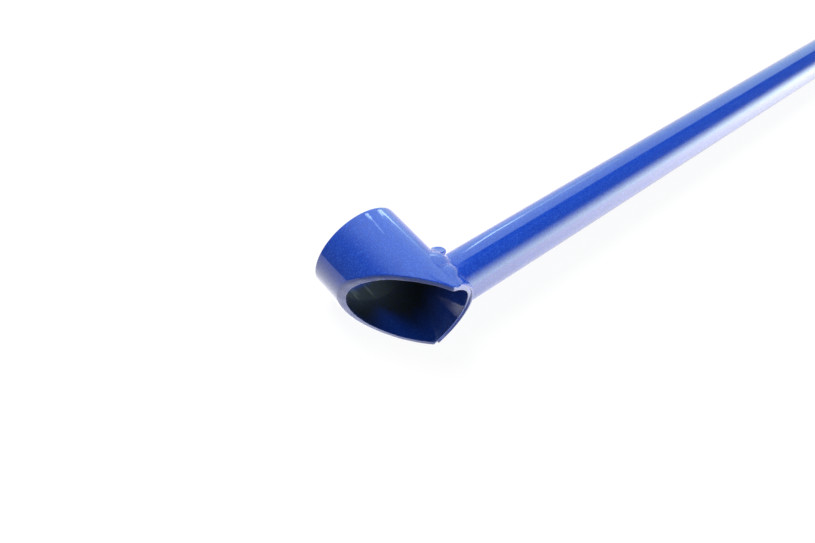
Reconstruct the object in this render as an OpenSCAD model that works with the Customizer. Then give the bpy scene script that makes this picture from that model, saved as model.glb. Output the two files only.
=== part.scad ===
// Pry bar: a short steel tube with a slanted mouth, welded across the end of a tubular lever.
// The lever runs along +X, the head tube lies along Y, and both axes meet at the origin.

/* [Head tube] */
// Outside diameter of the head tube
head_d = 48.3; // [40:0.1:60]
// Wall of the head tube
head_wall = 2.6; // [2:0.1:4]
// Length of the head tube from its lip to its square end
head_length = 53.4; // [46:0.1:70]
// Slope of the mouth's cut, measured from the plane of the square ends
mouth_angle = 49; // [35:1:52]
// Distance from the head's axis, towards the lever, at which the cut leaves the lip
mouth_start = 7; // [3:0.5:12]
// Small bevel on the rims of the square ends
edge_ease = 0.3; // [0.2:0.05:0.5]

/* [Lever] */
// Outside diameter of the lever tube
lever_d = 25.4; // [20:0.1:30]
// Wall of the lever tube
lever_wall = 3; // [2:0.1:4]
// Length of the whole tool, from the head's outer side to the end plug
tool_length = 610; // [450:5:900]
// Distance from the lip of the head to the lever's axis
lip_to_lever = 13; // [13:0.1:16]

/* [Weld] */
// Leg of the weld along the head, on the side that faces the head's square end
head_leg = 4.5; // [3:0.1:6]
// How far above and below the lever's axis the weld reaches over the head
top_reach = 22.2; // [18:0.1:23]
// Leg of the weld along the lever, on the side that faces the head's square end
lever_leg = 3.8; // [3:0.1:7]
// Leg of the weld along the lever, beside the lip
lip_leg = 0.6; // [0.4:0.1:2]
// How far the middle of the narrowest face stands out from the straight line between its legs
crown = 0.9; // [0.4:0.1:1.5]
// How far the weld laps over the lip of the head
lip_lap = 1; // [0.5:0.1:1.5]
// Radius of the lump where the weld was started and stopped
lump_r = 3.8; // [2.5:0.1:4.5]
// Place of the lump round the lever, from +Y towards +Z
lump_turn = 58; // [30:1:75]

/* [End plug] */
// Thickness of the plug's domed cap
cap_h = 4; // [3:0.5:6]
// Length of the plug's shank inside the lever
shank_length = 22; // [15:1:30]
// Number of gripping fins round the shank
fin_count = 5; // [3:1:6]

/* [Hidden] */

head_r = head_d / 2;
head_bore_r = head_r - head_wall;
lever_r = lever_d / 2;
lever_bore_r = lever_r - lever_wall;
square_end_y = head_length - lip_to_lever;
plug_end_x = tool_length - head_r;
lever_end_x = plug_end_x - cap_h;
round_fn = 128;
cut_size = 4 * head_length;
past = 1;
bury = 1.2;
face_steps = 6;
run_steps = 56;
leg_taper = 0.6;
face_lean = 0.7;
spread_start = 25;
spread_span = 50;
least = 0.01;
lump_step = 2;
lump_fn = 48;

// Shank and fins of the plug
fin_reach = 1.6;
fin_h = 1.4;
fin_start = 1;
fin_span = shank_length - 4;
fin_pitch = fin_span / (fin_count - 1);
shank_r = lever_bore_r - fin_reach;
shank_wall = 2;
shank_bore_r = shank_r - shank_wall;
cap_edge = 1.2;

// A wall turned on the Y axis: inner and outer radius, between two places along Y,
// with the corners eased where the ends are painted.
module wall_along_y(inner_r, outer_r, from_y, to_y, ease) {
    translate([0, from_y, 0])
        rotate([-90, 0, 0])
            rotate_extrude($fn = round_fn)
                polygon([
                    [inner_r, ease],
                    [inner_r + ease, 0],
                    [outer_r - ease, 0],
                    [outer_r, ease],
                    [outer_r, to_y - from_y - ease],
                    [outer_r - ease, to_y - from_y],
                    [inner_r + ease, to_y - from_y],
                    [inner_r, to_y - from_y - ease]
                ]);
}

// Everything on the open side of the mouth's slanted plane
module mouth_cut() {
    translate([mouth_start, -lip_to_lever, 0])
        rotate([0, 0, -mouth_angle])
            translate([-cut_size, -cut_size, -cut_size / 2])
                cube([cut_size + past, cut_size, cut_size]);
}

// Solid cylinder of the head's outside, longer than the head
module head_outside() {
    translate([0, -2 * head_length, 0])
        rotate([-90, 0, 0])
            cylinder(r = head_r, h = 4 * head_length, $fn = round_fn);
}

// Solid cylinder of the lever's outside, from the head's axis to past the weld
module lever_outside() {
    rotate([0, 90, 0])
        cylinder(r = lever_r, h = 3 * head_r, $fn = round_fn);
}

// Where the head's outside stands along X at a height z
function head_x(z) = sqrt(head_r * head_r - z * z);

// One point round the lever: distance along X, radius and turn from +Y towards +Z
function round_lever(x, r, turn) = [x, r * cos(turn), r * sin(turn)];

// How far the weld's toe stands from the lever's axis on the side of the square end: it
// spreads from head_leg to top_reach as it climbs over the head
function crown_reach(turn) =
    let (
        share = min(1, max(0, (abs(turn) - spread_start) / spread_span)),
        narrow = lever_r + head_leg
    )
    narrow + (top_reach - narrow) * pow(sin(90 * share), 2);

// How far the toe stands from the lever's axis beside the lip: it keeps to top_reach until it
// meets the lip, and laps over the lip by lip_lap
function lip_reach(turn) =
    min(
        top_reach / max(least, abs(sin(turn))),
        (lip_to_lever + lip_lap) / max(least, abs(cos(turn)))
    );

// How far the weld's toe on the head stands from the lever's axis at any turn
function toe_reach(turn) = abs(turn) < 90 ? crown_reach(turn) : lip_reach(turn);

// The toe of the weld on the head
function head_toe(turn) =
    let (y = toe_reach(turn) * cos(turn), z = toe_reach(turn) * sin(turn))
    [head_x(z) - bury / 2, y, z];

// Leg of the weld along the lever at one turn: it thins from the crown side to the lip
function leg_at(turn) = lip_leg + (lever_leg - lip_leg) * pow((1 + cos(turn)) / 2, leg_taper);

// The toe of the weld on the lever
function lever_toe(turn) =
    round_lever(head_x(lever_r * sin(turn)) + leg_at(turn), lever_r - bury / 2, turn);

// The buried corner of the weld, inside both walls
function weld_root(turn) =
    round_lever(head_x(lever_r * sin(turn)) - bury, lever_r - bury, turn);

// The weld's face between its toes: a straight line pushed out by half a sine wave, further
// where the weld is wider
function weld_face(turn, step) =
    let (
        part = step / face_steps,
        from = head_toe(turn),
        to = lever_toe(turn),
        lift = crown * (toe_reach(turn) - lever_r) / head_leg * sin(180 * part)
    )
    from + (to - from) * part + lift * face_lean * [1, cos(turn), sin(turn)];

// The section of the weld at one turn, as a ring of points
function weld_section(turn) =
    concat([for (step = [0:face_steps]) weld_face(turn, step)], [weld_root(turn)]);

// A run of weld from one turn to another, as one closed body swept round the lever
module weld_run(from_turn, to_turn) {
    corners = face_steps + 2;
    points = [
        for (i = [0:run_steps])
            each weld_section(from_turn + (to_turn - from_turn) * i / run_steps)
    ];
    sides = [
        for (i = [0:run_steps - 1], j = [0:corners - 1])
            each [
                [i * corners + j, i * corners + (j + 1) % corners, (i + 1) * corners + j],
                [
                    i * corners + (j + 1) % corners,
                    (i + 1) * corners + (j + 1) % corners,
                    (i + 1) * corners + j
                ]
            ]
    ];
    first_end = [for (j = [corners - 1:-1:0]) j];
    last_end = [for (j = [0:corners - 1]) run_steps * corners + j];
    difference() {
        polyhedron(points = points, faces = concat(sides, [first_end], [last_end]));
        head_outside();
        lever_outside();
    }
}

// Centre of the lump, on the face of the weld
function lump_centre() = weld_face(lump_turn, lump_step);

// The whole ball of the lump, before the head and the lever are taken from it
module lump_ball() {
    translate(lump_centre())
        sphere(r = lump_r, $fn = lump_fn);
}

// Short steel tube, cut square at one end and on a slant at the other
module head_tube() {
    color("royalblue")
        difference() {
            wall_along_y(head_bore_r, head_r, -lip_to_lever, square_end_y, edge_ease);
            mouth_cut();
        }
}

// Steel lever tube, coped to sit on the outside of the head
module lever_tube() {
    color("royalblue")
        difference() {
            rotate([0, 90, 0])
                cylinder(r = lever_r, h = lever_end_x, $fn = round_fn);
            rotate([0, 90, 0])
                translate([0, 0, -past])
                    cylinder(r = lever_bore_r, h = lever_end_x + 2 * past, $fn = round_fn);
            head_outside();
        }
}

// Half of the weld, round the side of the lever that faces the head's square end
module weld_crown_run() {
    color("mediumblue")
        difference() {
            weld_run(-90, 90);
            lump_ball();
        }
}

// Half of the weld, round the side of the lever that is flush with the head's lip
module weld_lip_run() {
    color("mediumblue")
        weld_run(90, 270);
}

// Lump of weld metal where the run was started and stopped
module weld_lump() {
    color("cornflowerblue")
        difference() {
            lump_ball();
            head_outside();
            lever_outside();
        }
}

// Half the outline of the plug: a domed cap outside the lever and a hollow finned shank inside it
module plug_outline() {
    union() {
        square([shank_r, shank_length]);
        for (i = [0:fin_count - 1])
            translate([0, fin_start + i * fin_pitch])
                polygon([[0, 0], [lever_bore_r, fin_h / 2], [lever_bore_r, fin_h], [0, fin_h]]);
        polygon([
            [0, shank_length],
            [lever_r, shank_length],
            [lever_r, shank_length + cap_h - cap_edge],
            [lever_r - cap_edge, shank_length + cap_h - cap_edge / 3],
            [lever_r / 2, shank_length + cap_h],
            [0, shank_length + cap_h]
        ]);
    }
}

// Moulded plastic plug pressed into the free end of the lever
module end_plug() {
    color("dimgray")
        translate([lever_end_x - shank_length, 0, 0])
            rotate([0, 90, 0])
                difference() {
                    rotate_extrude($fn = round_fn)
                        plug_outline();
                    translate([0, 0, -past])
                        cylinder(r = shank_bore_r, h = shank_length, $fn = round_fn);
                }
}

head_tube();
lever_tube();
weld_crown_run();
weld_lip_run();
weld_lump();
end_plug();
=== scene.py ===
"""Pry bar: a painted steel lever with a short slant-mouthed tube welded across its end.
Lengths are in metres."""

import math

import bmesh
import bpy
import numpy as np
from mathutils import Matrix, Vector


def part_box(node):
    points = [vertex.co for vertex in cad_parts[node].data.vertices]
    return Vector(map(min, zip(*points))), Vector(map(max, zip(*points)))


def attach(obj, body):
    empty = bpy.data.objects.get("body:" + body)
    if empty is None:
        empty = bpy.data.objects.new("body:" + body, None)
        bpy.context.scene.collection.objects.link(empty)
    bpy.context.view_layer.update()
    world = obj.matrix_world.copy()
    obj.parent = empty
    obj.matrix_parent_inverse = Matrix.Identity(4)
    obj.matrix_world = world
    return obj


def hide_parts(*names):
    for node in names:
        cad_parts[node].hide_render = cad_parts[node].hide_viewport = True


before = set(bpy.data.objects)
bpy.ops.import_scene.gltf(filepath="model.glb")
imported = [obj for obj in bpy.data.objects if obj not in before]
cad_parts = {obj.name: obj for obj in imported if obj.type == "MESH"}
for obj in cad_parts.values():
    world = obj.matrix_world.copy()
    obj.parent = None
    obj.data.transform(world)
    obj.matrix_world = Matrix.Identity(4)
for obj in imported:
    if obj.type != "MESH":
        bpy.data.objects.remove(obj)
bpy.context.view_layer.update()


# ---------------------------------------------------------------- camera
# The tool is looked down on from the mouth side of the head, with the lever running away
# to the upper right. The camera leans a little to one side, as one held in the hand does.

EYE = Vector((-0.12736, -0.10135, 0.22449))
AIM = Vector((0.01080, 0.01607, 0.0))
LEAN = math.radians(12.53)
LENS_MM = 27.45

camera_data = bpy.data.cameras.new("camera")
camera_data.lens = LENS_MM
camera_data.sensor_width = 36.0
camera_data.clip_start = 0.01
camera_data.clip_end = 100.0
camera = bpy.data.objects.new("camera", camera_data)
bpy.context.scene.collection.objects.link(camera)
camera.location = EYE
camera.rotation_euler = (
    (AIM - EYE).to_track_quat("-Z", "Y").to_matrix() @ Matrix.Rotation(LEAN, 3, "Z")
).to_euler()
bpy.context.scene.camera = camera
bpy.context.scene.view_settings.view_transform = "Standard"


# ---------------------------------------------------------------- head tube
# A 53 mm length of 48 mm steel pipe, sawn square at one end and on a steep slant at the
# other, which leaves a lip beside the lever. Its sawn edges are dressed and painted over.

head_low, head_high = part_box("head_tube")
HEAD_R = head_high.z
LIP_Y = head_low.y
SQUARE_Y = head_high.y
HEAD_WALL = 0.0026
MOUTH_SLOPE = math.tan(math.radians(49.0))
MOUTH_START = 0.007
LIP_CORNER = 0.0003
OUTER_ROUND = 0.0010
INNER_ROUND = 0.0004
LIP_SAG = 0.00064
SAW_WANDER = 0.00007
SAW_WAVES = (9.0, 23.0)
RIM_DEPTH = 0.0016
SPRAY_REACH = 0.024
# Painted shade: the bore's left wall is made to turn dark nearer the mouth than the rest.
LEFT_WALL_PAINTED_SHADE = 0.014
SPRAY_DRIFT = (0.0012, 0.0006)
END_SPRAY_REACH = 0.010
# Painted shade: all of the bore is darkened by at least this share towards the near-black steel
# colour.
BORE_PAINTED_SHADE = 0.2
BORE_MARGIN = 0.0001
PAINT_BLUE = (0.011, 0.072, 0.62, 1.0)
PAINT_DEEP = (0.006, 0.038, 0.40, 1.0)
# Colours of the lit and glinting flakes: painted highlights.
PAINT_SPARK = (0.04, 0.16, 0.85, 1.0)
PAINT_GLINT = (0.16, 0.38, 1.0, 1.0)
WORN_EDGE = (0.05, 0.075, 0.16, 1.0)
MILL_SCALE_AND_SHADE = (0.010, 0.014, 0.020, 1.0)
PATCH_SCALE = 90.0
COARSE_FLAKES = 2600.0
FINE_FLAKES = 5600.0
SCUFF_SCALE = 900.0
PEEL_SCALE = 320.0
NIB_SCALE = 70.0
NIB_REACH = 0.035
DEEPENED = 0.2
FLAKE_DIM = (0.3, 1.0, 0.0, 0.65)
FLAKE_LIT = (0.55, 1.0, 0.0, 0.55)
FLAKE_GLINT = (0.975, 1.0, 0.0, 0.6)
WORN_MOST = 0.3
SPECKLE = 0.06
PAINT_ROUGHNESS = (0.36, 0.5)
COAT_RELIEF = 0.00003
FLAKE_RELIEF = 0.00008
COAT_ROUGHNESS = 0.035
COAT_IOR = 1.7
COAT_WHERE_BARE = 0.08


def smooth_step(low, high, x):
    """0 below low, 1 above high, and 3t^2 - 2t^3 between them."""
    t = np.clip((x - low) / (high - low), 0.0, 1.0)
    return t * t * (3.0 - 2.0 * t)


def mesh_from_grid(name, points, attributes=None, close_u=True, close_v=True, caps=()):
    """A mesh from a grid of points (u, v, 3): each cell becomes one quad, the grid wraps round
    in u and v where asked, and each point in caps closes one end of an open v with a fan."""
    count_u, count_v = points.shape[:2]
    cells_u = count_u if close_u else count_u - 1
    cells_v = count_v if close_v else count_v - 1
    i, j = np.meshgrid(np.arange(cells_u), np.arange(cells_v), indexing="ij")
    i_next, j_next = (i + 1) % count_u, (j + 1) % count_v
    quads = np.stack(
        [i * count_v + j, i_next * count_v + j, i_next * count_v + j_next, i * count_v + j_next],
        axis=-1,
    ).reshape(-1, 4)
    vertices = points.reshape(-1, 3)
    faces = [quads]
    for end, centre in caps:
        ring = np.arange(count_u) * count_v + (0 if end == "first" else count_v - 1)
        tip = np.full(count_u, len(vertices))
        fan = np.stack([ring, np.roll(ring, -1), tip], axis=-1)
        faces.append(fan[:, ::-1] if end == "first" else fan)
        vertices = np.vstack([vertices, [centre]])
    mesh = bpy.data.meshes.new(name)
    mesh.from_pydata(vertices.tolist(), [], [f for block in faces for f in block.tolist()])
    mesh.validate()
    for key, values in (attributes or {}).items():
        flat = np.zeros(len(vertices), np.float32)
        flat[: values.size] = values.reshape(-1)
        layer = mesh.attributes.new(key, "FLOAT", "POINT")
        layer.data.foreach_set("value", flat)
    mesh.shade_smooth()
    piece = bpy.data.objects.new(name, mesh)
    bpy.context.scene.collection.objects.link(piece)
    return piece


def face_outwards(piece):
    """Turns every face of a closed shell to point out of it."""
    shell = bmesh.new()
    shell.from_mesh(piece.data)
    bmesh.ops.recalc_face_normals(shell, faces=shell.faces)
    shell.to_mesh(piece.data)
    shell.free()


def eased(depth, size):
    """How far a rounded edge falls back at a depth from the wall's face: a quarter circle."""
    inside = np.clip(1.0 - depth / size, 0.0, 1.0)
    return size * (1.0 - np.sqrt(1.0 - inside * inside))


def mouth_y(radius, turn):
    """Where the mouth's rim lies along Y: the slanted plane, cut off at the lip, with the corner
    between the two rounded by taking half of x + sqrt(x^2 + c^2). The saw ran a little deep
    on the upper side of the lip."""
    slant = (MOUTH_START - radius * np.cos(turn)) * MOUTH_SLOPE
    long_wave, short_wave = SAW_WAVES
    wander = SAW_WANDER * (np.sin(long_wave * turn + 1.3) + 0.6 * np.sin(short_wave * turn))
    sag = LIP_SAG * smooth_step(0.0, 0.7, np.sin(turn)) * smooth_step(-0.5, 0.1, np.cos(turn))
    slant = slant + wander + sag
    lifted = 0.5 * (slant + np.sqrt(slant * slant + LIP_CORNER * LIP_CORNER))
    return LIP_Y - sag + lifted


def head_surface(turns, wall_rows):
    """The head as a closed section carried round the Y axis: out along the outer wall from the
    square end to the mouth, over the rim, and back along the bore to the square end. Also how
    near each point is to a sawn rim, and how far it is beyond the spray in the bore, with painted
    shade added: the whole bore is darkened a little, and its left wall darkens sooner."""
    turn = np.linspace(0.0, 2.0 * np.pi, turns, endpoint=False)[:, None]
    along = np.linspace(0.0, 1.0, wall_rows)[None, :]
    arc = np.linspace(0.0, np.pi / 2, 8)
    across = np.concatenate(
        [
            OUTER_ROUND * (1.0 - np.cos(arc[:-1])),
            np.linspace(OUTER_ROUND, HEAD_WALL - INNER_ROUND, 5),
            HEAD_WALL - INNER_ROUND * (1.0 - np.cos(arc[::-1][1:])),
        ]
    )[None, :]
    easing = eased(across, OUTER_ROUND) + eased(HEAD_WALL - across, INNER_ROUND)
    rim_r = HEAD_R - across + 0.0 * turn
    rim_y = mouth_y(rim_r, turn) + easing
    far_r = rim_r[:, ::-1]
    far_y = SQUARE_Y - 0.5 * easing[:, ::-1] + 0.0 * turn
    outer_y = far_y[:, -1:] + (rim_y[:, :1] - far_y[:, -1:]) * along[:, 1:-1]
    inner_y = rim_y[:, -1:] + (far_y[:, :1] - rim_y[:, -1:]) * along[:, 1:-1]
    outer_r = np.full_like(outer_y, HEAD_R)
    inner_r = np.full_like(inner_y, HEAD_R - HEAD_WALL)
    r = np.concatenate([outer_r, rim_r, inner_r, far_r], axis=1)
    y = np.concatenate([outer_y, rim_y, inner_y, far_y], axis=1)
    from_mouth = y - mouth_y(r, turn)
    from_square = SQUARE_Y - y
    rim = 1.0 - smooth_step(0.0, RIM_DEPTH, np.minimum(from_mouth, from_square))
    in_bore = r < HEAD_R - HEAD_WALL + BORE_MARGIN
    # Painted shade: the bore's left wall counts as further from the mouth, so it darkens sooner.
    left_wall_painted_shade = LEFT_WALL_PAINTED_SHADE * smooth_step(0.05, 0.6, -np.cos(turn))
    drift = SPRAY_DRIFT[0] * np.sin(5.0 * turn + 0.7) + SPRAY_DRIFT[1] * np.sin(13.0 * turn)
    bare_and_shade = smooth_step(0.0, SPRAY_REACH, from_mouth + left_wall_painted_shade + drift)
    bare_and_shade = bare_and_shade * smooth_step(0.0, END_SPRAY_REACH, from_square)
    points = np.stack([r * np.cos(turn), y, r * np.sin(turn)], axis=-1)
    # The bore's darkening carries painted shade as well as the unpainted steel deeper in.
    return points, rim, (BORE_PAINTED_SHADE + (1.0 - BORE_PAINTED_SHADE) * bare_and_shade) * in_bore


def node(tree, kind, inputs=None, **settings):
    """Adds a shader node, sets its settings and inputs, and links any input that is a socket."""
    made = tree.nodes.new(kind)
    for key, value in settings.items():
        setattr(made, key, value)
    for key, value in (inputs or {}).items():
        if isinstance(value, bpy.types.NodeSocket):
            tree.links.new(value, made.inputs[key])
        else:
            made.inputs[key].default_value = value
    return made


def new_material(name):
    """An empty node material, its tree, and its output."""
    material = bpy.data.materials.new(name)
    material.use_nodes = True
    tree = material.node_tree
    tree.nodes.clear()
    return material, tree, tree.nodes.new("ShaderNodeOutputMaterial")


def blend_colour(tree, factor, first, second):
    """A colour mix node's result."""
    mix = node(tree, "ShaderNodeMix", data_type="RGBA")
    for socket, value in ((0, factor), (6, first), (7, second)):
        if isinstance(value, bpy.types.NodeSocket):
            tree.links.new(value, mix.inputs[socket])
        else:
            mix.inputs[socket].default_value = value
    return mix.outputs[2]


def ramp(tree, value, low, high, out_low=0.0, out_high=1.0):
    """A clamped map of a value from one range to another."""
    found = node(
        tree,
        "ShaderNodeMapRange",
        {"Value": value, "From Min": low, "From Max": high, "To Min": out_low, "To Max": out_high},
        interpolation_type="SMOOTHSTEP",
    )
    return found.outputs["Result"]


def flake_paint(name, extra_deepening=0.0):
    """Metal-flake blue under a clear coat: a blue base that deepens in patches, flat flakes in two
    sizes with the lit and glinting ones drawn as painted highlights, faint orange peel, dust nibs,
    thin dull paint on the sawn edges (the rim attribute) and dark mill scale where no spray
    reached, which also carries painted shade in the bore."""
    material, tree, output = new_material(name)
    place = node(tree, "ShaderNodeTexCoord").outputs["Object"]
    patches = node(
        tree, "ShaderNodeTexNoise", {"Vector": place, "Scale": PATCH_SCALE, "Detail": 3.0}
    ).outputs["Fac"]
    deepened = ramp(tree, patches, 0.3, 0.7, 0.0, DEEPENED + extra_deepening)
    base = blend_colour(tree, deepened, PAINT_BLUE, PAINT_DEEP)
    coarse = node(tree, "ShaderNodeTexVoronoi", {"Vector": place, "Scale": COARSE_FLAKES})
    fine = node(tree, "ShaderNodeTexVoronoi", {"Vector": place, "Scale": FINE_FLAKES})
    chance = node(tree, "ShaderNodeSeparateColor", {"Color": coarse.outputs["Color"]})
    fine_chance = node(tree, "ShaderNodeSeparateColor", {"Color": fine.outputs["Color"]})
    # Dim flakes are darker grain; the lit and glinting flakes are painted highlights.
    dim = ramp(tree, fine_chance.outputs[1], *FLAKE_DIM)
    lit = ramp(tree, chance.outputs[0], *FLAKE_LIT)
    glint = ramp(tree, fine_chance.outputs[2], *FLAKE_GLINT)
    flakes_and_glints = blend_colour(tree, dim, base, PAINT_DEEP)
    flakes_and_glints = blend_colour(tree, lit, flakes_and_glints, PAINT_SPARK)
    flakes_and_glints = blend_colour(tree, glint, flakes_and_glints, PAINT_GLINT)
    rim = node(tree, "ShaderNodeAttribute", attribute_name="rim").outputs["Fac"]
    scuff = node(
        tree, "ShaderNodeTexNoise", {"Vector": place, "Scale": SCUFF_SCALE, "Detail": 4.0}
    ).outputs["Fac"]
    thin = node(
        tree, "ShaderNodeMath", {0: rim, 1: ramp(tree, scuff, 0.42, 0.7)}, operation="MULTIPLY"
    ).outputs[0]
    worn = ramp(tree, thin, 0.0, 1.0, 0.0, WORN_MOST)
    edged = blend_colour(tree, worn, flakes_and_glints, WORN_EDGE)
    # This attribute darkens the bore: unpainted steel where spray missed, and painted shade.
    bare_and_shade = node(tree, "ShaderNodeAttribute", attribute_name="bare_and_shade").outputs["Fac"]
    speckle = ramp(tree, scuff, 0.2, 0.8, -SPECKLE, SPECKLE)
    bared_and_shaded = node(
        tree,
        "ShaderNodeMath",
        {0: speckle, 1: bare_and_shade, 2: bare_and_shade},
        operation="MULTIPLY_ADD",
        use_clamp=True,
    ).outputs[0]
    colour = blend_colour(tree, bared_and_shaded, edged, MILL_SCALE_AND_SHADE)
    peel = node(
        tree, "ShaderNodeTexNoise", {"Vector": place, "Scale": PEEL_SCALE, "Detail": 2.0}
    ).outputs["Fac"]
    nib = node(
        tree, "ShaderNodeTexVoronoi", {"Vector": place, "Scale": NIB_SCALE, "Randomness": 1.0}
    )
    nib_height = ramp(tree, nib.outputs["Distance"], 0.0, NIB_REACH, 1.0, 0.0)
    coat_height = node(tree, "ShaderNodeMath", {0: peel, 1: nib_height}, operation="ADD").outputs[0]
    coat_bump = node(
        tree,
        "ShaderNodeBump",
        {"Height": coat_height, "Strength": 0.25, "Distance": COAT_RELIEF},
    ).outputs["Normal"]
    flake_bump = node(
        tree,
        "ShaderNodeBump",
        {
            "Height": chance.outputs[2],
            "Strength": 0.3,
            "Distance": FLAKE_RELIEF,
            "Normal": coat_bump,
        },
    ).outputs["Normal"]
    shader = node(
        tree,
        "ShaderNodeBsdfPrincipled",
        {
            "Base Color": colour,
            "Roughness": ramp(tree, fine_chance.outputs[0], 0.0, 1.0, *PAINT_ROUGHNESS),
            "Metallic": 0.02,
            "IOR": 1.5,
            "Specular IOR Level": 0.1,
            "Normal": flake_bump,
            "Coat Weight": ramp(tree, bared_and_shaded, 0.0, 0.4, 1.0, COAT_WHERE_BARE),
            "Coat Roughness": COAT_ROUGHNESS,
            "Coat IOR": COAT_IOR,
            "Coat Normal": coat_bump,
        },
    )
    tree.links.new(shader.outputs[0], output.inputs["Surface"])
    return material


head_points, head_rim, head_bare_and_shade = head_surface(turns=512, wall_rows=34)
head = mesh_from_grid("head", head_points, {"rim": head_rim, "bare_and_shade": head_bare_and_shade})
face_outwards(head)
tube_paint = flake_paint("tube_paint")
head.data.materials.append(tube_paint)
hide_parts("head_tube")
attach(head, "root")


# ---------------------------------------------------------------- lever
# One inch steel tube. Its near end is coped to saddle the head and welded there; the far
# end is sawn square and takes the plug. It is sprayed together with the head.

_, lever_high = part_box("lever_tube")
LEVER_R = lever_high.z
LEVER_END_X = lever_high.x
LEVER_WALL = 0.003
LEVER_EASE = 0.0004
LEVER_RIM_PAINT = 0.8
LEVER_ROW_BIAS = 1.3


def lever_surface(turns, rows):
    """The lever as a closed section carried round the X axis: from the cope along the outer
    wall to the sawn end, over it, and back along the bore. The cope stands where a cylinder
    of the head's radius does, at x = sqrt(R^2 - z^2). Also how near each point is to the
    sawn end's rim."""
    turn = np.linspace(0.0, 2.0 * np.pi, turns, endpoint=False)[:, None]
    ease = LEVER_EASE
    arc = np.linspace(0.0, np.pi / 2, 6)
    along = np.linspace(0.0, 1.0, rows) ** LEVER_ROW_BIAS
    r = np.concatenate(
        [
            np.full(rows, LEVER_R),
            LEVER_R - ease * (1.0 - np.cos(arc[1:])),
            np.linspace(LEVER_R - ease, LEVER_R - LEVER_WALL + ease, 4)[1:-1],
            LEVER_R - LEVER_WALL + ease * (1.0 - np.cos(arc[::-1])),
            np.full(rows - 1, LEVER_R - LEVER_WALL),
        ]
    )[None, :]
    cope = np.sqrt(HEAD_R**2 - (r * np.sin(turn)) ** 2)
    end = np.concatenate(
        [
            np.zeros(rows),
            ease - ease * (1.0 - np.sin(arc[1:])),
            np.full(2, ease),
            ease - ease * (1.0 - np.sin(arc[::-1])),
            np.zeros(rows - 1),
        ]
    )[None, :]
    part = np.concatenate([along, np.ones(5 + 2 + 6), along[::-1][1:]])[None, :]
    x = cope + (LEVER_END_X - ease - cope) * part + end
    points = np.stack([x, r * np.cos(turn), r * np.sin(turn)], axis=-1)
    return points, smooth_step(0.0, ease, end)[0] + 0.0 * turn


lever_points, lever_rim = lever_surface(turns=192, rows=120)
lever = mesh_from_grid("lever", lever_points, {"rim": LEVER_RIM_PAINT * lever_rim})
face_outwards(lever)
lever.data.materials.append(tube_paint)
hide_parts("lever_tube")
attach(lever, "root")


# ---------------------------------------------------------------- weld
# A hand-run fillet of weld metal all round the saddle joint, laid as two half-turns. It spreads
# widest over the top and bottom of the head and laps over its lip. Its drops, ripples and
# swellings show through the paint, which is drawn a deeper blue over the weld than on the tubes.

WELD_LOW_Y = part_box("weld_lip_run")[0].y
HEAD_LEG = 0.0045
LEVER_LEG = 0.0038
LIP_LEG = 0.0006
LEG_TAPER = 0.6
LEG_SWAY = 0.22
LEG_JITTER = 0.0003
TOE_SWAY = 0.0008
TOP_REACH = 0.0222
SPREAD = (25.0, 75.0)
LEAST = 0.01
LIP_LAP = 0.00095
FACE_LEAN = 0.7
CROWN = 0.0006
BURY = 0.0006
FACE_STAND = 0.0007
DOME_ROUND = 0.8
LIP_LIFT = 0.25
# Each drop of weld metal: its middle and its half width in degrees, and its height in mm
DROPS = (
    (-76, 22, 0.9),
    (-44, 20, 1.2),
    (-12, 21, 0.9),
    (22, 20, 1.0),
    (50, 15, 0.8),
    (81, 19, 2.0),
    (104, 17, 2.0),
    (134, 14, 1.8),
    (168, 20, 0.9),
    (203, 21, 1.1),
    (236, 19, 0.9),
    (266, 19, 1.2),
)
DROP_BOW = 7.0
DROP_DRIFT = 3.0
DROP_ROUND = 0.7
RIPPLE_STAND = 0.002
RIPPLE_PITCH = 0.0016
RIPPLE_HEIGHT = 0.00004
RIPPLE_BOW = 1.1
RIPPLE_DRIFT = 0.5
RIPPLE_ROUND = 0.7
SWELL_HEIGHT = 0.0003
NOISE_WAVES = 8


def soft_noise(seed, *coordinates):
    """A smooth random field: the mean of sine waves with random directions, phases and lengths."""
    draw = np.random.default_rng(seed)
    total = 0.0
    for _ in range(NOISE_WAVES):
        phase = draw.uniform(0.0, 2.0 * np.pi)
        for c in coordinates:
            phase = phase + draw.normal(0.0, 1.0) * c
        total = total + np.sin(phase)
    return total / NOISE_WAVES


def head_x(z):
    """Where the head's outside stands along X at a height z: sqrt(R^2 - z^2)."""
    return np.sqrt(HEAD_R * HEAD_R - z * z)


def toe_reach(turn):
    """How far the weld's toe on the head stands from the lever's axis. Towards the square end
    it spreads as it climbs over the head. Beside the lip it keeps its height, as
    reach = height / |sin|, until it meets the lip and laps over it."""
    climb = smooth_step(*SPREAD, np.abs(np.degrees(turn)))
    narrow = LEVER_R + HEAD_LEG
    crown_side = narrow + (TOP_REACH - narrow) * climb
    lip_side = np.minimum(
        TOP_REACH / np.maximum(LEAST, np.abs(np.sin(turn))),
        (LIP_LAP - LIP_Y) / np.maximum(LEAST, np.abs(np.cos(turn))),
    )
    return np.where(np.cos(turn) > 0.0, crown_side, lip_side)


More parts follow.
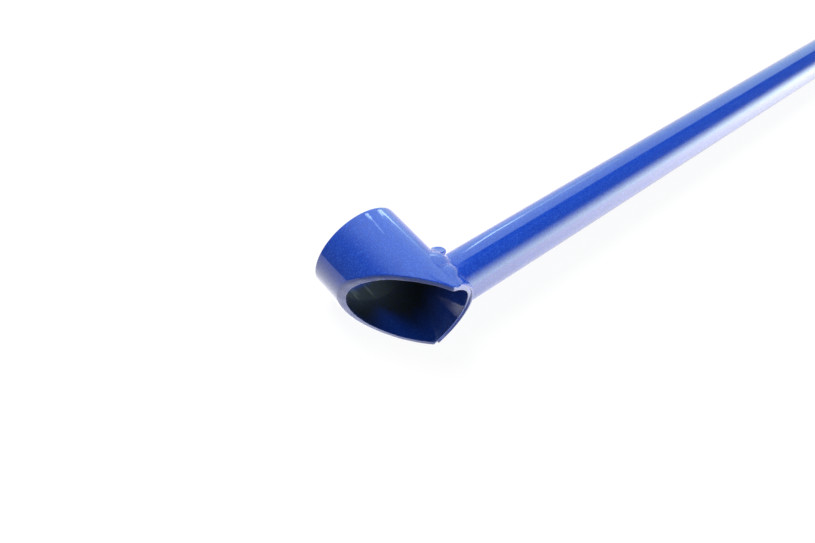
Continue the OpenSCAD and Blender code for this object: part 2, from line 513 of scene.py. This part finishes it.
def fillet(turn, across, bury):
    """A point on the straight fillet at a turn round the lever and a share across from the toe
    on the head to the toe on the lever, and the direction in which the face looks there."""
    leg = LIP_LEG + (LEVER_LEG - LIP_LEG) * ((1.0 + np.cos(turn)) / 2.0) ** LEG_TAPER
    leg = leg * (1.0 + LEG_SWAY * soft_noise(5, 6.0 * turn))
    leg = leg + LEG_JITTER * soft_noise(6, 17.0 * turn)
    reach = toe_reach(turn) + TOE_SWAY * soft_noise(7, 5.0 * turn)
    toe_z = reach * np.sin(turn)
    toe_y = np.maximum(reach * np.cos(turn), LIP_Y - LIP_LAP)
    toe = np.stack([head_x(toe_z) - bury, toe_y, toe_z], axis=-1)
    root_x = head_x(LEVER_R * np.sin(turn))
    lever_toe = np.stack(
        [root_x + leg, (LEVER_R - bury) * np.cos(turn), (LEVER_R - bury) * np.sin(turn)], axis=-1
    )
    out = FACE_LEAN * np.stack([np.ones_like(turn), np.cos(turn), np.sin(turn)], axis=-1)
    return toe + (lever_toe - toe) * across[..., None], out


def weld_surface(first_turn, last_turn, seed, columns=420, rows=40):
    """A run of weld: the fillet pushed out by half a sine across it, by the big drops of metal
    that it was laid in (arches (1 - q^2)^0.7 with sharp valleys between them), by the fine
    curved ripples on them and by slow swellings. Each point is then moved straight out from
    the head's axis until it stands clear of the head by FACE_STAND * sqrt(dome), except at
    the toe, and the section is closed by its buried back."""
    turn = np.linspace(first_turn, last_turn, columns)[:, None]
    across = np.linspace(0.0, 1.0, rows)[None, :]
    turn, across = turn + 0.0 * across, across + 0.0 * turn
    face, out = fillet(turn, across, BURY)
    bow = (2.0 * across - 1.0) ** 2
    drift = soft_noise(seed, 4.0 * turn, 2.0 * across)
    place = np.degrees(turn) - DROP_BOW * bow + DROP_DRIFT * drift
    drop = np.zeros_like(turn)
    for middle, half_width, height in DROPS:
        q = np.clip((place - middle) / half_width, -1.0, 1.0)
        drop = np.maximum(drop, 0.001 * height * (1.0 - q * q) ** DROP_ROUND)
    run = turn * (LEVER_R + RIPPLE_STAND)
    phase = run / RIPPLE_PITCH - RIPPLE_BOW * bow
    phase = phase + RIPPLE_DRIFT * soft_noise(seed + 2, 9.0 * turn)
    ripple = RIPPLE_HEIGHT * np.abs(np.sin(np.pi * phase)) ** RIPPLE_ROUND
    swell = SWELL_HEIGHT * soft_noise(seed + 1, 5.0 * turn, 2.0 * across)
    dome = np.maximum(0.0, np.sin(np.pi * across)) ** DOME_ROUND
    thin = LIP_LIFT + (1.0 - LIP_LIFT) * smooth_step(-1.0, -0.2, np.cos(turn))
    lift = dome * thin * (CROWN + drop + ripple + swell)
    face = face + lift[..., None] * out
    beside = np.hypot(face[..., 0], face[..., 2])
    stand = np.where(across > 0.0, FACE_STAND * np.sqrt(dome) - BURY * (1.0 - across) ** 6, -BURY)
    scale = np.maximum(1.0, (HEAD_R + stand) / beside)
    face[..., 0] = face[..., 0] * scale
    face[..., 2] = face[..., 2] * scale
    back_turn = turn[:, :1]
    root_x = head_x(LEVER_R * np.sin(back_turn)) - BURY
    back = np.stack(
        [root_x, (LEVER_R - 2 * BURY) * np.cos(back_turn), (LEVER_R - 2 * BURY) * np.sin(back_turn)],
        axis=-1,
    )
    return np.concatenate([face, back], axis=1)


def close_ends(points):
    """The centres of the two ends of a swept section, which cap it."""
    return (("first", points[0].mean(axis=0)), ("last", points[-1].mean(axis=0)))


def swept_piece(name, points):
    """A closed section (v) carried along a run (u), capped at both ends of the run."""
    turned = np.swapaxes(points, 0, 1)
    piece = mesh_from_grid(name, turned, close_u=True, close_v=False, caps=close_ends(points))
    face_outwards(piece)
    return piece


# The weld's paint is drawn a deeper blue, in more of its patches, than the tubes'.
weld_paint = flake_paint("weld_paint", extra_deepening=0.3)
for name, cad_node, first, last, seed in (
    ("crown_weld", "weld_crown_run", -92.0, 92.0, 11),
    ("lip_weld", "weld_lip_run", 88.0, 272.0, 31),
):
    run_points = weld_surface(math.radians(first), math.radians(last), seed)
    # The lap over the lip reaches no further than the frame's weld
    run_points[..., 1] = np.maximum(run_points[..., 1], WELD_LOW_Y)
    run_piece = swept_piece(name, run_points)
    run_piece.data.materials.append(weld_paint)
    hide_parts(cad_node)
    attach(run_piece, "root")


# ---------------------------------------------------------------- weld lump
# Where the welder struck up and stopped, a drop of metal froze into a flat-topped button
# on a short neck. Nobody ground it off, and the paint runs thick over it.

LUMP_R = 0.0039
LUMP_CENTRE = np.array([0.0200, 0.0091, 0.0152])
LUMP_AXIS = np.array([0.19, 0.44, 0.88])
LUMP_SWAY = 0.16
# Radius and height along the button's axis, in button radii, from its top to its buried foot
LUMP_OUTLINE = np.array(
    [
        [0.0, 0.26],
        [0.5, 0.27],
        [0.8, 0.34],
        [1.0, 0.22],
        [0.97, -0.12],
        [0.78, -0.35],
        [0.70, -0.60],
        [0.78, -0.95],
        [0.95, -1.25],
        [0.60, -1.50],
        [0.0, -1.55],
    ]
)


def smoothed(outline, rounds):
    """Corner cutting: each round replaces a corner by points a quarter of the way along the two
    lines that meet there, and the two ends stay."""
    for _ in range(rounds):
        first, second = outline[:-1], outline[1:]
        cut = np.stack([0.75 * first + 0.25 * second, 0.25 * first + 0.75 * second], axis=1)
        outline = np.vstack([outline[:1], cut.reshape(-1, 2)[1:-1], outline[-1:]])
    return outline


def lump_surface(columns=96):
    """The button's outline (radius, height) turned round its own axis, each place pushed in or
    out by a smooth random field."""
    outline = LUMP_R * smoothed(LUMP_OUTLINE, 3)[1:-1]
    axis = LUMP_AXIS / np.linalg.norm(LUMP_AXIS)
    side = np.cross(axis, [1.0, 0.0, 0.0])
    side = side / np.linalg.norm(side)
    other = np.cross(axis, side)
    around = np.linspace(0.0, 2.0 * np.pi, columns, endpoint=False)[:, None]
    radius, height = outline[None, :, 0], outline[None, :, 1]
    sway = soft_noise(51, 1.4 * np.cos(around), 1.4 * np.sin(around), 500.0 * height)
    radius = radius * (1.0 + LUMP_SWAY * sway)
    ring = np.cos(around)[..., None] * side + np.sin(around)[..., None] * other
    return LUMP_CENTRE + radius[..., None] * ring + (height + 0.0 * around)[..., None] * axis


lump_points = lump_surface()
lump = mesh_from_grid(
    "lump",
    lump_points,
    close_v=False,
    caps=(
        ("first", lump_points[:, 0].mean(axis=0)),
        ("last", lump_points[:, -1].mean(axis=0)),
    ),
)
face_outwards(lump)
lump.data.materials.append(weld_paint)
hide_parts("weld_lump")
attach(lump, "root")


# ---------------------------------------------------------------- end plug
# A black polyethylene plug, moulded in one piece and hammered into the lever's free end.
# Its cap is as wide as the lever, and its thin fins grip the bore.

plug_low, plug_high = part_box("end_plug")
PLUG_CAP_X = LEVER_END_X
PLUG_TIP_X = plug_high.x
PLUG_BACK_X = plug_low.x
PLUG_R = plug_high.z
FIN_COUNT = 5
FIN_REACH = 0.0016
FIN_START = 0.001
FIN_RAMP = 0.0007
FIN_H = 0.0014
FIN_MARGIN = 0.004
SHANK_WALL = 0.002
CAP_LIP = 0.0003
CAP_EDGE = 0.0014
CAP_DOME = 0.0006
DIMPLE_DEPTH = 0.0005
DIMPLE_R = (0.0016, 0.0022)
DIMPLE_CORE = 0.0002
PLASTIC_BLACK = (0.012, 0.012, 0.013, 1.0)
PLASTIC_SCUFF = (0.04, 0.04, 0.042, 1.0)
GRAIN_SCALE = 2600.0
HAZE_SCALE = 260.0
GRAIN_RELIEF = 0.00006
SCUFF_SPREAD = (0.5, 0.75, 0.0, 0.5)
PLASTIC_ROUGHNESS = (0.38, 0.6)
PLASTIC_IOR = 1.5


def plug_surface(turns=160):
    """The plug's outline turned round the X axis: shank, fins, the underside of the cap, its
    rounded edge and a shallow dome with a small moulding dimple at the middle."""
    bore_r = LEVER_R - LEVER_WALL
    shank_r = bore_r - FIN_REACH
    outline = [(PLUG_BACK_X, shank_r - SHANK_WALL), (PLUG_BACK_X, shank_r)]
    pitch = (PLUG_CAP_X - PLUG_BACK_X - FIN_MARGIN) / (FIN_COUNT - 1)
    for i in range(FIN_COUNT):
        fin_x = PLUG_BACK_X + FIN_START + i * pitch
        outline += [(fin_x, shank_r), (fin_x + FIN_RAMP, bore_r), (fin_x + FIN_H, bore_r)]
        outline += [(fin_x + FIN_H, shank_r)]
    outline += [(PLUG_CAP_X, shank_r), (PLUG_CAP_X, PLUG_R - CAP_LIP)]
    outline += [(PLUG_CAP_X + CAP_LIP, PLUG_R)]
    arc = np.linspace(0.0, np.pi / 2, 9)
    shoulder_x = PLUG_TIP_X - CAP_EDGE - CAP_DOME
    outline += list(
        zip(shoulder_x + CAP_EDGE * np.sin(arc), PLUG_R - CAP_EDGE * (1.0 - np.cos(arc)))
    )
    dome_r = np.linspace(PLUG_R - CAP_EDGE, DIMPLE_CORE, 22)[1:]
    dome_x = PLUG_TIP_X - CAP_DOME * (dome_r / (PLUG_R - CAP_EDGE)) ** 2
    dome_x = dome_x - DIMPLE_DEPTH * (1.0 - smooth_step(*DIMPLE_R, dome_r))
    outline += list(zip(dome_x, dome_r))
    outline = np.array(outline)
    turn = np.linspace(0.0, 2.0 * np.pi, turns, endpoint=False)[:, None]
    x, r = outline[None, :, 0], outline[None, :, 1]
    return np.stack([x + 0.0 * turn, r * np.cos(turn), r * np.sin(turn)], axis=-1)


def plug_plastic():
    """Black moulded polyethylene: satin, with a fine spark-eroded grain and grey scuffs in patches
    all over it."""
    material, tree, output = new_material("plug_plastic")
    place = node(tree, "ShaderNodeTexCoord").outputs["Object"]
    grain = node(
        tree, "ShaderNodeTexNoise", {"Vector": place, "Scale": GRAIN_SCALE, "Detail": 4.0}
    ).outputs["Fac"]
    haze = node(
        tree, "ShaderNodeTexNoise", {"Vector": place, "Scale": HAZE_SCALE, "Detail": 5.0}
    ).outputs["Fac"]
    scuffed = ramp(tree, haze, *SCUFF_SPREAD)
    colour = blend_colour(tree, scuffed, PLASTIC_BLACK, PLASTIC_SCUFF)
    bump = node(
        tree, "ShaderNodeBump", {"Height": grain, "Strength": 0.5, "Distance": GRAIN_RELIEF}
    ).outputs["Normal"]
    shader = node(
        tree,
        "ShaderNodeBsdfPrincipled",
        {
            "Base Color": colour,
            "Roughness": ramp(tree, haze, 0.3, 0.7, *PLASTIC_ROUGHNESS),
            "IOR": PLASTIC_IOR,
            "Normal": bump,
        },
    )
    tree.links.new(shader.outputs[0], output.inputs["Surface"])
    return material


plug_points = plug_surface()
plug = mesh_from_grid(
    "plug",
    plug_points,
    close_v=False,
    caps=(
        ("first", (PLUG_BACK_X, 0.0, 0.0)),
        ("last", (plug_points[0, -1, 0], 0.0, 0.0)),
    ),
)
face_outwards(plug)
plug.data.materials.append(plug_plastic())
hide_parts("end_plug")
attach(plug, "root")


# ---------------------------------------------------------------- floor
# A white sweep that the tool lies on, resting on the head and on the plug's edge. Glossy
# surfaces see its glow, painted by place: painted shade close to the tool in front and dim to
# the left, bright further to the right, and a painted pool of light close behind the tool.

FLOOR_SIZE = 6.0
FLOOR_GAP = 0.00002
FLOOR_LIFT = 0.93
FLOOR_BOUNCE = (0.05, 0.05, 0.05, 1.0)
FLOOR_WHITE = (0.12, 0.12, 0.12, 1.0)
GLOW_FADE = 0.045
GLOW_BEHIND = 1.0
GLOW_BEHIND_NEAR = 4.0
GLOW_RIGHT = 4.4
GLOW_LEFT = 0.55
GLOW_SIDE = (-0.03, 0.06)
GLOW_TURN = (-0.03, 0.02)
rest_drop = (HEAD_R - PLUG_R) / PLUG_TIP_X
floor_x = np.array([-1.0, 1.0, 1.0, -1.0]) * FLOOR_SIZE
floor_y = np.array([-1.0, -1.0, 1.0, 1.0]) * FLOOR_SIZE
floor_z = -HEAD_R - FLOOR_GAP + floor_x * rest_drop
floor_mesh = bpy.data.meshes.new("floor")
floor_mesh.from_pydata(np.stack([floor_x, floor_y, floor_z], axis=-1).tolist(), [], [(0, 1, 2, 3)])
floor = bpy.data.objects.new("floor", floor_mesh)
bpy.context.scene.collection.objects.link(floor)


def maths(tree, operation, *values):
    """A math node's result."""
    return node(tree, "ShaderNodeMath", dict(enumerate(values)), operation=operation).outputs[0]


def between(tree, factor, first, second):
    """A value that runs from first to second as factor runs from 0 to 1."""
    return node(tree, "ShaderNodeMix", {0: factor, 2: first, 3: second}).outputs[0]


floor_material, floor_tree, floor_output = new_material("floor_white")
floor_ray = node(floor_tree, "ShaderNodeLightPath")
floor_place = node(floor_tree, "ShaderNodeTexCoord").outputs["Object"]
near_x, near_y, _ = node(floor_tree, "ShaderNodeSeparateXYZ", {0: floor_place}).outputs
far_off = node(
    floor_tree, "ShaderNodeVectorMath", {0: floor_place}, operation="LENGTH"
).outputs["Value"]
fade_back = maths(floor_tree, "EXPONENT", maths(floor_tree, "MULTIPLY", far_off, -1.0 / GLOW_FADE))
glow_back = maths(floor_tree, "MULTIPLY_ADD", fade_back, GLOW_BEHIND_NEAR, GLOW_BEHIND)
fade_front = maths(floor_tree, "EXPONENT", maths(floor_tree, "MULTIPLY", near_y, 1.0 / GLOW_FADE))
glow_right = maths(floor_tree, "MULTIPLY_ADD", fade_front, -GLOW_RIGHT, GLOW_RIGHT)
to_right = ramp(floor_tree, near_x, *GLOW_SIDE)
glow_front = between(floor_tree, to_right, GLOW_LEFT, glow_right)
behind = ramp(floor_tree, near_y, *GLOW_TURN)
floor_glow = between(floor_tree, behind, glow_front, glow_back)
floor_glow = maths(floor_tree, "MULTIPLY", floor_glow, floor_ray.outputs["Is Glossy Ray"])
floor_glow = between(floor_tree, floor_ray.outputs["Is Camera Ray"], floor_glow, FLOOR_LIFT)
floor_colour = blend_colour(
    floor_tree, floor_ray.outputs["Is Diffuse Ray"], FLOOR_WHITE, FLOOR_BOUNCE
)
floor_colour = blend_colour(
    floor_tree, floor_ray.outputs["Is Glossy Ray"], floor_colour, (0.0, 0.0, 0.0, 1.0)
)
floor_diffuse = node(floor_tree, "ShaderNodeBsdfDiffuse", {"Color": floor_colour})
floor_shine = node(floor_tree, "ShaderNodeEmission", {"Strength": floor_glow})
floor_both = node(
    floor_tree, "ShaderNodeAddShader", {0: floor_diffuse.outputs[0], 1: floor_shine.outputs[0]}
)
floor_tree.links.new(floor_both.outputs[0], floor_output.inputs["Surface"])
floor.data.materials.append(floor_material)


# ---------------------------------------------------------------- card
# A pale card, folded along its top, leans over the tool on its far side. Only glossy surfaces
# see it: it gives the head and the lever their broad sky-blue bands. A bright line on it, and
# two bright spots, make the streaks in the gloss.

CARD_TOP = (0.070, 0.100)
CARD_FOOT = (0.160, -0.030)
CARD_FLAP = (0.010, 0.106)
CARD_ENDS = (-0.30, 1.60)
CARD_TINT = (0.74, 1.0, 0.97, 1.0)
CARD_LIGHT = 1.4
CARD_LEFT = (-0.085, 0.030, 0.12, 1.0)
CARD_FAR = (0.15, 0.30, 1.0, 0.75)
FOLD_WIDTH = 0.0004
FLAP_LEFT = (0.070, 0.100, 1.0, 0.0)
FLAP_NEAR_FOLD = (0.035, 0.048)
LINE_HEIGHT = (0.080, 0.140, 0.072, 0.0425)
LINE_WIDTH = (0.003, 0.008)
LINE_START = (0.098, 0.118)
LINE_DIMS = (0.145, 0.18, 1.0, 0.25)
LINE_ENDS = (0.20, 0.32, 2.8, 0.0)
SPOT_EDGE = (0.25, 1.3)
# Each spot: its centre along X and Z, its half sizes along them, and its glow
SPOTS = (
    (0.0490, 0.0815, 0.0075, 0.0050, 3.4),
    (0.0530, 0.0890, 0.0035, 0.0090, 1.3),
)
card_corners = [
    (end, *fold) for fold in (CARD_FOOT, CARD_TOP, CARD_FLAP) for end in CARD_ENDS
]
card_mesh = bpy.data.meshes.new("card")
card_mesh.from_pydata(card_corners, [], [(0, 1, 3, 2), (2, 3, 5, 4)])
card = bpy.data.objects.new("card", card_mesh)
bpy.context.scene.collection.objects.link(card)
card.visible_camera = False
card.visible_diffuse = False
card.visible_shadow = False
card.visible_transmission = False
card_material, card_tree, card_output = new_material("card_glow")
card_place = node(card_tree, "ShaderNodeTexCoord").outputs["Object"]
card_x, card_y, card_z = node(card_tree, "ShaderNodeSeparateXYZ", {0: card_place}).outputs
glow_left = ramp(card_tree, card_x, *CARD_LEFT)
glow_far = ramp(card_tree, card_x, *CARD_FAR)
card_glow = maths(card_tree, "MULTIPLY", glow_left, glow_far)
on_flap = ramp(card_tree, card_z, CARD_TOP[1] - FOLD_WIDTH, CARD_TOP[1] + FOLD_WIDTH)
flap_glow = maths(
    card_tree,
    "MAXIMUM",
    ramp(card_tree, card_x, *FLAP_LEFT),
    ramp(card_tree, card_y, *FLAP_NEAR_FOLD),
)
card_glow = maths(
    card_tree, "MULTIPLY", card_glow, between(card_tree, on_flap, 1.0, flap_glow)
)
line_z = ramp(card_tree, card_x, *LINE_HEIGHT)
from_line = maths(card_tree, "ABSOLUTE", maths(card_tree, "SUBTRACT", card_z, line_z))
line = ramp(card_tree, from_line, *LINE_WIDTH, 1.0, 0.0)
line = maths(card_tree, "MULTIPLY", line, ramp(card_tree, card_x, *LINE_START))
line = maths(card_tree, "MULTIPLY", line, ramp(card_tree, card_x, *LINE_DIMS))
line = maths(card_tree, "MULTIPLY", line, ramp(card_tree, card_x, *LINE_ENDS))
card_glow = maths(card_tree, "ADD", card_glow, line)
for spot_x, spot_z, half_x, half_z, spot_glow in SPOTS:
    off_x = maths(card_tree, "MULTIPLY_ADD", card_x, 1.0 / half_x, -spot_x / half_x)
    off_z = maths(card_tree, "MULTIPLY_ADD", card_z, 1.0 / half_z, -spot_z / half_z)
    off = maths(
        card_tree,
        "ADD",
        maths(card_tree, "MULTIPLY", off_x, off_x),
        maths(card_tree, "MULTIPLY", off_z, off_z),
    )
    spot = ramp(card_tree, off, *SPOT_EDGE, spot_glow, 0.0)
    card_glow = maths(card_tree, "ADD", card_glow, spot)
card_glow = maths(card_tree, "MULTIPLY", card_glow, CARD_LIGHT)
card_shine = node(card_tree, "ShaderNodeEmission", {"Color": CARD_TINT, "Strength": card_glow})
card_tree.links.new(card_shine.outputs[0], card_output.inputs["Surface"])
card.data.materials.append(card_material)


# ---------------------------------------------------------------- room and lamp
# The ceiling is dark, a bright window stands low to the right, and the left of the room is
# lighter than the rest. One big soft lamp, high on the far side, lights the paint and the
# floor, and isn't mirrored in the gloss.

CEILING = 0.06
AMBIENT = 0.05
AMBIENT_LEFT = 0.30
WINDOW_LIGHT = 4.9
WINDOW_TINT = (0.94, 1.08, 1.0, 1.0)
WINDOW_LOW = math.radians(123.0)
WINDOW_HIGH = math.radians(177.0)
WINDOW_RIGHT = (-0.2, 0.45, 0.15, 1.0)
LEFT_PART = (-0.9, 0.1)
LAMP_PLACE = Vector((0.05, 0.90, 1.65))
LAMP_WIDTH = 1.1
LAMP_WATTS = 33.0
world = bpy.data.worlds.new("studio")
bpy.context.scene.world = world
world.use_nodes = True
sky = world.node_tree
sky.nodes.clear()
sky_output = sky.nodes.new("ShaderNodeOutputWorld")
sky_way = node(sky, "ShaderNodeTexCoord").outputs["Generated"]
way_x, way_y, way_z = node(sky, "ShaderNodeSeparateXYZ", {0: sky_way}).outputs
tilt = maths(sky, "ARCTAN2", way_z, way_y)
window = maths(
    sky,
    "MULTIPLY",
    ramp(sky, tilt, WINDOW_LOW, WINDOW_HIGH),
    ramp(sky, way_x, *WINDOW_RIGHT),
)
room = maths(sky, "MULTIPLY_ADD", window, WINDOW_LIGHT, CEILING)
sky_ray = node(sky, "ShaderNodeLightPath")
ambient = ramp(sky, way_x, *LEFT_PART, AMBIENT_LEFT, AMBIENT)
room = between(sky, sky_ray.outputs["Is Diffuse Ray"], room, ambient)
room = between(sky, sky_ray.outputs["Is Camera Ray"], room, 1.0)
room_tint = blend_colour(
    sky, sky_ray.outputs["Is Camera Ray"], WINDOW_TINT, (1.0, 1.0, 1.0, 1.0)
)
studio = node(sky, "ShaderNodeBackground", {"Color": room_tint, "Strength": room})
sky.links.new(studio.outputs[0], sky_output.inputs["Surface"])

lamp_data = bpy.data.lights.new("lamp", "AREA")
lamp_data.shape = "DISK"
lamp_data.size = LAMP_WIDTH
lamp_data.energy = LAMP_WATTS
lamp = bpy.data.objects.new("lamp", lamp_data)
bpy.context.scene.collection.objects.link(lamp)
lamp.location = LAMP_PLACE
lamp.rotation_euler = (-LAMP_PLACE).to_track_quat("-Z", "Y").to_euler()
lamp.visible_glossy = False
